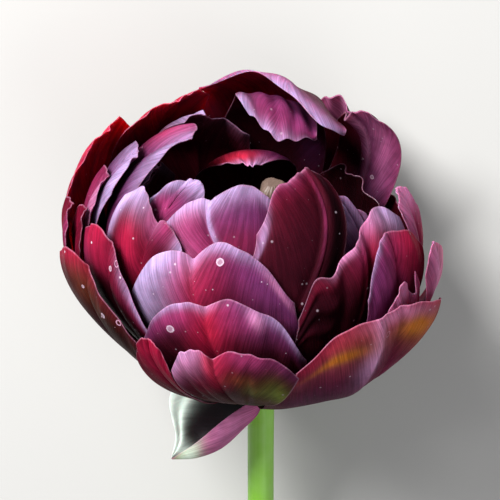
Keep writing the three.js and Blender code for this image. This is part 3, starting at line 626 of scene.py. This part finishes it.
add_petal("petal_right_back", level=(4.6, 2.9), az=(134, 126), wide=(13, 19),
          top=(39, 44, 46, 44, 40, 34, 28), curl=(4, 3.2, 1.8, 0.7, 0, 0, 0), curl_from=0.65,
          folds=((0.12, 1.5, 0.08),), specks=0.5, sheer=0.3, marks=((-0.26, 0.66, 0.8),),
          inside=(("plum", -0.5, 0.8, 0.6, 0.5, 0.95), ("rose", -0.6, 0.9, 0.6, 0.3, 0.6),
                  ("pink", -0.5, 0.85, 0.4, 0.3, 0.35), ("pink", 0.02, 0.9, 0.06, 0.25, 0.7),
                  ("red", 0.5, 0.95, 0.3, 0.2, 0.7), ("shade", 0.45, 0.75, 0.35, 0.25, 0.7)))

# Petals on the left
# A large dark one whose red inner face shows, the tips and edges of those outside it, and the two
# pale ones that curl in over the hollow.
add_petal("petal_left_low", level=(1, -0.9), az=(-50, -58), wide=(20, 24.5), foot=(0.4, 0.9),
          grow=1, top=(9, 14, 14, 7, -2), puff=0.6, specks=1, marks=((0.42, 0.92, 0.7), (-0.1, 0.9, 0.5)),
          tints=(("red", -0.4, 1, 1, 0.07, 0.9), ("flush_and_glow", -0.6, 1, 0.5, 0.05, 0.8),
                 ("shade", 0.2, 0.8, 0.8, 0.12, 0.75), ("shade", 0.7, 0.92, 0.5, 0.1, 0.65),
                 ("amber", 0.2, 0.88, 0.7, 0.1, 0.18), ("shade", 0.2, 0.62, 0.8, 0.12, 0.5)))
add_petal("petal_left_second", level=(3.2, 2.4), az=(-50, -58), wide=(20, 23), foot=0.5,
          top=(18, 23, 22, 14, -4), puff=0.6, specks=1, marks=((0.15, 0.93, 0.7),),
          tints=(("flush_and_glow", -0.6, 0.99, 0.5, 0.1, 0.9), ("red", 0, 0.95, 1, 0.12, 0.9),
                 ("rose", -0.8, 0.93, 0.3, 0.1, 0.6), ("plum", 0.6, 0.97, 0.5, 0.08, 0.7),
                 ("bloom_and_sheen", 0.8, 0.99, 0.4, 0.05, 0.5), ("shade", 0.1, 0.8, 0.7, 0.06, 0.6)))
add_petal("petal_left_tip_outer", level=0.6, az=-85, wide=(8, 8), top=(16, 20, 19, 12), tip=1.2,
          tints=(("red", 0, 0.9, 1.2, 0.3, 0.9), ("rose", 0.7, 1, 0.5, 0.1, 0.6)))
add_petal("petal_left_tip_inner", level=1.6, az=-81, wide=(8, 8), top=(14, 21, 21, 12),
          tints=(("red", 0, 0.9, 1.2, 0.3, 0.9),))
add_petal("petal_left_narrow", level=3, az=-90, wide=(11, 11), top=(30, 33, 31, 20),
          tints=(("rose", 0, 0.9, 1, 0.3, 0.4), ("red", -0.4, 0.85, 0.6, 0.2, 0.6),
                 ("pink", 0.6, 0.98, 0.4, 0.1, 0.7)))
add_petal("petal_left_curled", level=4.4, az=-95, wide=(15, 15), top=(41, 45, 46, 44, 34), puff=0.7,
          nick=0.03, frill=0.05, folds=((0.3, 0.8, 0.1),),
          tints=(("plum", 0, 0.8, 1.2, 0.25, 0.9), ("bloom_and_sheen", 0.2, 1, 1, 0.1, 0.55),
                 ("bloom_and_sheen", 0.8, 0.9, 0.3, 0.2, 0.5), ("shade", -0.7, 0.85, 0.5, 0.2, 0.4)))
# Both its faces are painted bright red with light that comes through it from behind, besides the real light
# that passes through.
add_petal("petal_left_outer", level=0.5, az=-115, wide=(24, 21), top=(19, 30, 34, 32, 24), tip=1.2, nick=0.08,
          sheer=0.95, tints=(("flush_and_glow", 0, 0.9, 1.5, 0.4, 0.9), ("glow", -0.5, 1, 0.8, 0.1, 0.8)),
          inside=(("flush_and_glow", 0.1, 0.95, 1.5, 0.35, 1), ("glow", -0.5, 1, 0.9, 0.1, 0.9),
                  ("rose", 0.1, 0.8, 1.2, 0.14, 0.7)))
add_petal("petal_left_strip", level=6.6, az=-100, wide=(29, 29), top=(58, 67, 66, 57, 40), puff=0.8, corner=9,
          nick=0.03, frill=0.05,
          tints=(("plum", 0.2, 0.87, 1.2, 0.16, 0.8), ("bloom_and_sheen", 0.35, 1, 0.55, 0.1, 0.65),
                 ("rose", -0.5, 0.93, 0.5, 0.1, 0.8), ("flush_and_glow", -0.6, 0.88, 0.4, 0.08, 0.5),
                 ("shade", -0.2, 0.76, 0.8, 0.1, 0.7)))
add_petal("petal_left_small", level=8.1, az=-90, wide=(14, 11), top=(40, 46, 46, 40),
          tints=(("plum", 0, 0.9, 1, 0.3, 0.8), ("bloom_and_sheen", 0, 1, 1, 0.1, 0.6)))

# Petals at the back
# They stand behind the hollow with their dark inner faces to the viewer, and their tips roll over so
# that a band of the pale outer face shows.
# Its red inner face is partly painted light that comes through.
add_petal("petal_back_left", level=2.2, az=-143, wide=(20, 20), top=(40, 47, 46, 40, 33), nick=0.08,
          sheer=0.7, tints=(("glow", 0, 0.95, 1.5, 0.2, 0.6),),
          inside=(("glow", -0.2, 1.02, 1, 0.06, 0.5), ("flush_and_glow", 0, 0.95, 1.2, 0.2, 0.7)))
add_petal("petal_back_left_inner", level=(8.4, 5.2), az=-157, wide=(23, 24), tip=-1.5,
          top=(18, 26, 40, 58, 56), ruffle=(0.6, 1.5), tints=(("bloom_and_sheen", 0, 1, 1, 0.1, 0.9),),
          inside=(("bloom_and_sheen", 0, 1.02, 1.2, 0.03, 4), ("pink", -0.2, 1.02, 1.1, 0.022, 1),
                  ("red", 0, 0.9, 1.2, 0.2, 0.7)))
ROOF = (((2.7, 4.7, 0.9), (1.8, 5.1, 0.9), (0.8, 5.3, 0.9), (-0.5, 5.4, 0.9), (-1.6, 5.2, 0.9)),
        ((11, 19.1, 5.9), (7.5, 20.7, 5.9), (3.1, 21.8, 5.9), (-1.9, 21.9, 5.9), (-6.4, 21, 5.9)),
        ((20.1, 32.2, 20.2), (13, 35.7, 20.2), (5.3, 37.6, 20.2), (-3.3, 37.9, 20.2), (-12.4, 35.9, 20.2)),
        ((22.5, 36, 38), (14.5, 39.9, 38), (5.9, 42.1, 38), (-3.7, 42.3, 38), (-13.8, 40.2, 38)),
        ((18.5, 27.3, 52), (15.8, 33.9, 53), (8.4, 36.4, 53), (0, 37.4, 53), (-11, 35.7, 53)),
        ((22, 13, 58), (15.5, 14.3, 63), (8.5, 21.3, 66), (-1, 28.9, 63.5), (-12, 29, 58.5)),
        ((21.7, 12, 57), (17, 9.1, 61), (9.3, 13.8, 66.5), (1, 25.5, 65.5), (-12, 28.5, 59.5)))
PLATE = (((2.5, 4.8, 6.3), (1.7, 5.1, 6.3), (0.8, 5.3, 6.3), (-0.2, 5.4, 6.3), (-1.1, 5.3, 6.3)),
         ((7, 13.2, 8.6), (4.6, 14.3, 8.6), (2.1, 14.9, 8.6), (-0.8, 15, 8.6), (-3.6, 14.6, 8.6)),
         ((13.6, 25.6, 17.9), (9, 27.6, 17.9), (3.5, 28.8, 17.9), (-2, 28.9, 17.9), (-7.5, 28, 17.9)),
         ((18.2, 31.4, 40), (11.2, 34.5, 40), (4.4, 36, 40), (-1.9, 36.3, 40), (-7.5, 35.5, 40)),
         ((15.8, 22.5, 57), (10.7, 25.3, 57), (5.7, 26.9, 57), (1, 27.5, 57), (-3.8, 27.2, 57)),
         ((15.3, 8.5, 59.5), (11.5, 10, 62.5), (7.2, 12.5, 65), (1.5, 14, 66), (-3, 14, 66.5)),
         ((15.3, 8, 58.5), (11, 6, 59.5), (6.3, 4.5, 60.5), (2.5, 7.5, 62.5), (-0.5, 11, 64)))


def sheet_surface(u, v, rows, wave=0, waves=2):
    """The middle of a free petal: a smooth surface through rows of points from its foot to its tip,
    each from its left edge to its right one, with waves of the height `wave` near its tip."""
    points = through(through(rows, u[:, 0]).swapaxes(0, 1), (v[0] + 1) / 2).swapaxes(0, 1)
    points[..., 2] += wave * np.sin(2 * np.pi * waves * (v + 0.8 * u)) * ramp(0.6, 0.9, u)
    return points


add_blade("petal_back_top", sheet_surface(*grid_lines(), ROOF, 0.35, 1.7),
          (("rose", 0, 0.9, 1.4, 0.1, 0.8), ("bloom_and_sheen", -0.3, 0.97, 1, 0.1, 0.7),
           ("pink", -0.1, 1, 1, 0.04, 0.5)),
          (("flush_and_glow", 0.4, 0.85, 1, 0.3, 0.9),), sheer=0.8)
add_blade("petal_back_top_inner", sheet_surface(*grid_lines(), PLATE, 0.5, 2.2),
          (("rose", 0, 0.92, 1.4, 0.12, 0.5), ("plum", -0.4, 0.85, 1.2, 0.15, 0.8),
           ("bloom_and_sheen", 0.3, 1, 0.9, 0.05, 0.6), ("bloom_and_sheen", 1, 0.93, 0.25, 0.1, 0.9),
           ("pink", -0.3, 0.99, 0.4, 0.03, 0.5), ("shade", -0.7, 0.78, 0.6, 0.05, 0.7)),
          (("pink", 0.5, 0.92, 0.6, 0.12, 0.3), ("red", -0.4, 0.8, 0.6, 0.08, 0.5),
           ("shade", -0.2, 0.45, 1.4, 0.22, 0.85), ("plum", -0.75, 0.5, 0.2, 0.04, 0.6)), sheer=0.3)
add_petal("petal_back_right", level=-0.7, az=143, wide=(12, 20), top=(8, 17, 27, 26, 12),
          folds=((-0.1, 1.2, 0.15), (0.3, -0.8, 0.12)), ruffle=(0.5, 2.5),
          inside=(("rose", 0, 0.98, 1.2, 0.2, 1), ("pink", -0.2, 0.97, 0.8, 0.14, 0.8)))
add_petal("petal_under_left", level=-0.9, az=-143, wide=(22, 20), top=(6, 14, 16, 14, 6))
add_petal("petal_under", level=-1.8, az=180, wide=(30, 30), top=(2, 8, 10, 8, 2),
          folds=(), puff=0, ruffle=(0, 1), crease=0, frill=0, nick=0, floor=FLOOR_HALF)

# Petals inside
# Small crumpled petals round the hollow, in deep shade but for the red one that arches over its back.
add_petal("petal_inner_front", level=10.6, az=(-20, -10), wide=(40, 40), top=(20, 30, 40, 30, 20))
add_petal("petal_inner_right", level=9, az=120, wide=(30, 30), top=(0, 10, 16, 12, 0), gloss=0.5,
          ruffle=(1, 2), inside=(("shade", 0, 0.8, 1.5, 0.5, 0.9),))
# Its bright red is partly painted light that comes through.
add_petal("petal_inner_back", level=(10.4, 17), az=182, wide=(31, 33), top=(68, 76, 77, 75, 67, 54),
          folds=(), puff=0, crease=0, nick=0, frill=0.05,
          tints=(("glow", 0.35, 0.88, 0.8, 0.12, 0.9), ("plum", -0.7, 0.9, 0.5, 0.2, 0.9),
                 ("pink", -0.1, 1, 1.3, 0.06, 1), ("bloom_and_sheen", -0.6, 1, 0.6, 0.04, 0.6),
                 ("pink", -0.7, 0.92, 0.4, 0.06, 0.5)))
add_petal("petal_inner_left", level=10.4, az=-110, wide=(30, 30), top=(10, 25, 30, 20, 10),
          ruffle=(0.6, 2), inside=(("bloom_and_sheen", 0.2, 0.98, 0.8, 0.05, 4),))

# Hanging petal
# The outermost guard petal has let go of the bloom and hangs below it from the neck of the stem. It
# is a channel folded along its midrib, whose near half stands in front and whose far half is taller,
# with a pale margin that rolls over, and its tip is still green.
NEAR = np.array([0, -0.819, 0.574])
HANGING_SPINE = ((1, -5.9, -4.2), (2.2, -8.2, -7.8), (-2, -10.5, -12), (-7, -12, -16.4),
                 (-12.8, -13, -18.4), (-18.6, -13.5, -18.6))
NEAR_RISE = (0.05, 0.3, 0.95)
FAR_RISE = (-0.92, 0.5, 0.75)
NEAR_HEIGHTS = (1, 3, 6, 7, 4, 0.2)
FAR_HEIGHTS = (1, 5, 15, 14.5, 6, 0.3)


def hanging_surface(u, v):
    """The middle of the hanging petal: at each u the spine's point, plus a height there times |v|^1.3
    along the near or the far half's own direction, and a bow towards or away from the viewer. The
    far half's last fifth rolls back towards the viewer."""
    spine = through(HANGING_SPINE, u)
    side = np.abs(v)
    near, far = through(NEAR_HEIGHTS, u), through(FAR_HEIGHTS, u)
    roll = ramp(0.75, 1, -v)
    high = np.where(v > 0, near, far) * side**1.3 - 0.08 * far * roll
    out = np.where(v > 0, 0.4 * near, -0.2 * far) * np.sin(np.pi * side * 0.6) + 0.14 * far * roll
    rise = np.where((v > 0)[..., None], NEAR_RISE, FAR_RISE)
    return spine + high[..., None] * rise + out[..., None] * NEAR


add_blade("petal_hanging", hanging_surface(*grid_lines()),
          (("rose", 0.6, 0.4, 1, 0.4, 1), ("pink", 0.6, 0.5, 1, 0.3, 0.9), ("pink", 0.5, 1, 1, 0.05, 0.5),
           ("lime", 0.3, 0.88, 1, 0.1, 1), ("white", 0.3, 0.86, 1, 0.09, 0.75)),
          (("shade", -0.3, 0.45, 0.6, 0.6, 6), ("white", -1.05, 0.5, 0.18, 0.8, 16),
           ("lime", -0.6, 0.6, 0.05, 0.2, 0.5)), specks=0, gloss=0.5)

# Stem
# The neck under the petals, then a smooth green stalk with a thin bloom of wax, that sags as it goes
# and ends in a plain cut.
RECEPTACLE_TOP = 16
RECEPTACLE_FOOT = -3.2
NECK_FOOT = -10
NECK_RADII = (3.5, 4.3, 4.9, 5, 5, 5, 5, 5, 4.9, 4.4)  # from there to the top of the receptacle
TOP_EDGE = (4.7, 4.95)  # which has a rounded edge
STEM_RADIUS = 3.25
STEM_LENGTH = 140
STEM_END_SLOPE = np.radians(5.88)
STEM_SHIFT = 2.6  # to the right, in a slight bend below the flower
STEM_BEND = 11
STEM_SIDES = 48
STEM_RINGS = 160
RIDGES = ((0.008, 5, 0.02), (0.006, 3, 0.09))  # share of the radius, how many, their turn in a millimetre


def ring_points(centres, alongs, radii, sides, lobes=0):
    """Rings of points: each centre plus its radius times the cosine and sine of even angles, on the
    two directions across `along`. The radius swells by the share `lobes`, which may be one number
    for each ring and angle."""
    alongs = alongs / np.linalg.norm(alongs, axis=-1, keepdims=True)
    across = np.array([1.0, 0, 0]) - alongs * alongs[:, :1]
    across /= np.linalg.norm(across, axis=-1, keepdims=True)
    other = np.cross(alongs, across)
    angle = 2 * np.pi * np.arange(sides) / sides
    radius = np.asarray(radii)[:, None] * (1 + lobes)
    return (centres[:, None] + (radius * np.cos(angle))[..., None] * across[:, None]
            + (radius * np.sin(angle))[..., None] * other[:, None])


def add_tube(name, node, rings, material, caps=8):
    """A closed tube through rings of points. Each end is closed by rings that shrink towards its
    middle and a last small face. `grain` holds the distance round, the distance along and 0, `cut`
    is 1 on the closing rings of the last end, and `height` runs from 0 to 1 along the tube."""
    shares = np.linspace(1, 0.04, caps + 1)[1:, None, None]
    first, last = rings[0].mean(0), rings[-1].mean(0)
    closed = np.concatenate([first + (rings[0] - first) * shares[::-1], rings,
                             last + (rings[-1] - last) * shares])
    count, sides = closed.shape[:2]
    at = np.arange(count * sides).reshape(count, sides)
    after = np.roll(at, -1, 1)
    walls = np.stack([at[:-1], after[:-1], after[1:], at[1:]], -1).reshape(-1, 4)
    along = lengths(rings, 0)[:, :1] + np.zeros(sides)
    along = np.concatenate([np.zeros((caps, sides)), along, np.repeat(along[-1:], caps, 0)])
    round_it = np.linalg.norm(rings[len(rings) // 2, 0] - rings[len(rings) // 2, 1]) * np.arange(sides)
    grain = np.stack([round_it + 0 * along, along, 0 * along], -1)
    cut = np.zeros(count)
    cut[-caps:] = 1
    attributes = {"grain": grain.reshape(-1, 3), "cut": np.repeat(cut, sides),
                  "height": (along / along.max()).ravel()}
    piece = mesh_object(name, closed.reshape(-1, 3), [walls, at[:1, ::-1], at[-1:]], attributes)
    piece.data.materials.append(material)
    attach(piece, "root")
    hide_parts(node)
    return piece


def stem_skin():
    """Stem: living green tissue under a thin waxy skin, as it grew. Fine lines run along it, and the cut end
    shows the wet pale pith."""
    FIBRE_WIDTH = 0.5
    FIBRE_LENGTH = 30
    WAX_PATCH = 8.3
    RELIEF = 0.05
    material = bpy.data.materials.new("stem_skin")
    material.use_nodes = True
    tree = material.node_tree
    shader = tree.nodes["Principled BSDF"]
    grain = add_node(tree, "ShaderNodeAttribute", attribute_name="grain").outputs["Vector"]
    fibres = add_node(tree, "ShaderNodeMapping", {
        "Vector": grain, "Scale": (1 / FIBRE_WIDTH, 1 / FIBRE_LENGTH, 1)})
    lines = add_node(tree, "ShaderNodeTexNoise", {"Vector": fibres, "Scale": 1.0, "Detail": 3.0})
    where = add_node(tree, "ShaderNodeTexCoord").outputs["Object"]
    patches = add_node(tree, "ShaderNodeTexNoise", {
        "Vector": where, "Scale": 1 / (WAX_PATCH * METRES), "Detail": 3.0})
    wax = add_node(tree, "ShaderNodeMapRange", {
        "Value": patches, "From Min": 0.4, "From Max": 0.8, "To Min": 0.0, "To Max": 0.45})
    cut = add_node(tree, "ShaderNodeAttribute", attribute_name="cut").outputs["Fac"]
    colour = linear("#78b82a")
    for amount, tint in ((lines, "#93cc4c"), (wax, "#a4cf80"), (cut, "#c9d79a")):
        colour = add_node(tree, "ShaderNodeMix", {0: amount, 6: colour, 7: linear(tint)}, data_type="RGBA")
    tree.links.new(colour.outputs[2], shader.inputs["Base Color"])
    bump = add_node(tree, "ShaderNodeBump", {
        "Height": lines, "Strength": 0.3, "Distance": RELIEF * METRES})
    tree.links.new(bump.outputs["Normal"], shader.inputs["Normal"])
    shader.inputs["Roughness"].default_value = 0.42
    shader.inputs["Subsurface Weight"].default_value = 0.15
    shader.inputs["Subsurface Radius"].default_value = (0.001, 0.002, 0.0005)
    return material


neck_heights = np.linspace(RECEPTACLE_TOP, NECK_FOOT, 60)
neck_radii = through(NECK_RADII, (neck_heights - NECK_FOOT) / (RECEPTACLE_TOP - NECK_FOOT))
neck_radii[:2] = TOP_EDGE
neck_centres = laid(np.stack([0 * neck_heights, 0 * neck_heights, neck_heights], -1))
neck_alongs = np.repeat([turned([0, 0, -1])], len(neck_heights), 0)
slope = np.linspace(TILT, STEM_END_SLOPE, STEM_RINGS)
stalk_alongs = np.stack([0 * slope, -np.cos(slope), -np.sin(slope)], -1)
step = (STEM_LENGTH + NECK_FOOT) / (STEM_RINGS - 1)
walk = np.cumsum((stalk_alongs[:-1] + stalk_alongs[1:]) / 2 * step, axis=0)
stalk_centres = neck_centres[-1] + walk
centres = np.concatenate([neck_centres, stalk_centres])
below = np.insert(np.cumsum(np.linalg.norm(np.diff(centres, axis=0), axis=-1)), 0, 0)
centres[:, 0] += STEM_SHIFT * ramp(0, STEM_BEND, below - RECEPTACLE_TOP + RECEPTACLE_FOOT)
stalk_radii = STEM_RADIUS + 0.25 * np.exp(-np.arange(1, STEM_RINGS) * step / 3)
angle = 2 * np.pi * np.arange(STEM_SIDES) / STEM_SIDES
run = np.arange(len(neck_radii) + STEM_RINGS - 1)[:, None] * step
flutes = sum(high * (np.sin(many * angle + turn * run) - 1) for high, many, turn in RIDGES)
add_tube("stem_stalk", "stem", ring_points(
    centres, np.concatenate([neck_alongs, stalk_alongs[1:]]),
    np.concatenate([neck_radii, stalk_radii]), STEM_SIDES, flutes), stem_skin())

# Pistil
# The three-sided green ovary on the receptacle, under a cream stigma of three crimped lobes. The stigma's
# cream is darkened to a dull brown as painted shade.
PISTIL = ((0, 16.3, 2.3), (0.3, 20, 2.9), (0.8, 24, 3.4), (1.4, 28, 3.6), (2.1, 32, 3.65), (2.8, 36, 3.5),
          (3.5, 40, 3.1), (4, 43, 2.9), (4.6, 46, 2.9), (5, 48.5, 3.3), (5.3, 50.5, 3.2), (5.5, 51.8, 2))
PISTIL_SIDES = 72
PISTIL_RINGS = 90


def flesh(name, low, high, roughness, speckle):
    """Soft tissue that changes from the colour `low` at its foot to `high` at its top, with a fine
    grain: `speckle` is the size of its grains in millimetres."""
    RELIEF = 0.1
    material = bpy.data.materials.new(name)
    material.use_nodes = True
    tree = material.node_tree
    shader = tree.nodes["Principled BSDF"]
    height = add_node(tree, "ShaderNodeAttribute", attribute_name="height").outputs["Fac"]
    where = add_node(tree, "ShaderNodeTexCoord").outputs["Object"]
    grains = add_node(tree, "ShaderNodeTexNoise", {
        "Vector": where, "Scale": 1 / (speckle * METRES), "Detail": 2.0})
    level = add_node(tree, "ShaderNodeMapRange", {"Value": height, "From Min": 0.45, "From Max": 0.8})
    dark = add_node(tree, "ShaderNodeMapRange", {
        "Value": grains, "From Min": 0.35, "From Max": 0.7, "To Min": 0.0, "To Max": 0.35})
    colour = linear(low)
    for amount, tint in ((level, high), (dark, "#2a1a14")):
        colour = add_node(tree, "ShaderNodeMix", {0: amount, 6: colour, 7: linear(tint)}, data_type="RGBA")
    tree.links.new(colour.outputs[2], shader.inputs["Base Color"])
    bump = add_node(tree, "ShaderNodeBump", {
        "Height": grains, "Strength": 0.5, "Distance": RELIEF * METRES})
    tree.links.new(bump.outputs["Normal"], shader.inputs["Normal"])
    shader.inputs["Roughness"].default_value = roughness
    return material


t = np.linspace(0, 1, PISTIL_RINGS)
lean, high, radii = (through(column, t) for column in zip(*PISTIL))
turn = 2 * np.pi * np.arange(PISTIL_SIDES) / PISTIL_SIDES
crimp = ramp(0.72, 0.92, t)[:, None]
ovary_lobes = 0.1 * np.cos(3 * turn)
stigma_lobes = 0.16 * np.cos(3 * turn) + 0.06 * np.sin(21 * turn) - 0.12
lobes = (1 - crimp) * ovary_lobes + crimp * stigma_lobes
# The top colour is the stigma's cream darkened as painted shade.
add_tube("pistil_body", "pistil", ring_points(
    laid(np.stack([lean, 0 * t, high], -1)), np.repeat([turned([0, 0, 1])], PISTIL_RINGS, 0),
    radii, PISTIL_SIDES, lobes), flesh("pistil_flesh", "#6f8a4a", "#6e5a50", 0.5, 0.5))

# Stamens
# Six round the pistil, each a dark filament that carries a long anther dusted with pollen.
STAMENS = 6
STAMEN = ((3.9, 16.3, 0.7), (4.4, 18, 0.7), (5.2, 20, 0.7), (6.2, 22.5, 0.75), (7.2, 25, 0.8), (8, 27, 1.4),
          (8.6, 29, 1.6), (9.3, 31, 1.6), (9.9, 33, 1.55), (10.4, 35, 1.4), (10.9, 37.5, 0.6))
STAMEN_SIDES = 24
STAMEN_RINGS = 60
anther = flesh("stamen_tissue", "#1a0d1c", "#2a1c2e", 0.75, 0.25)
t = np.linspace(0, 1, STAMEN_RINGS)
out, high, radii = (through(column, t) for column in zip(*STAMEN))
turn = 2 * np.pi * np.arange(STAMEN_SIDES) / STAMEN_SIDES
furrows = 0.18 * ramp(0.45, 0.6, t)[:, None] * (np.cos(4 * turn) - 1) / 2
for number in range(STAMENS):
    azimuth = np.radians(30 + 360 / STAMENS * number)
    centres = laid(np.stack([out * np.sin(azimuth), -out * np.cos(azimuth), high], -1))
    add_tube(f"stamen_{number + 1}_body", f"stamen_{number + 1}", ring_points(
        centres, np.gradient(centres, axis=0), radii, STAMEN_SIDES, furrows), anther)
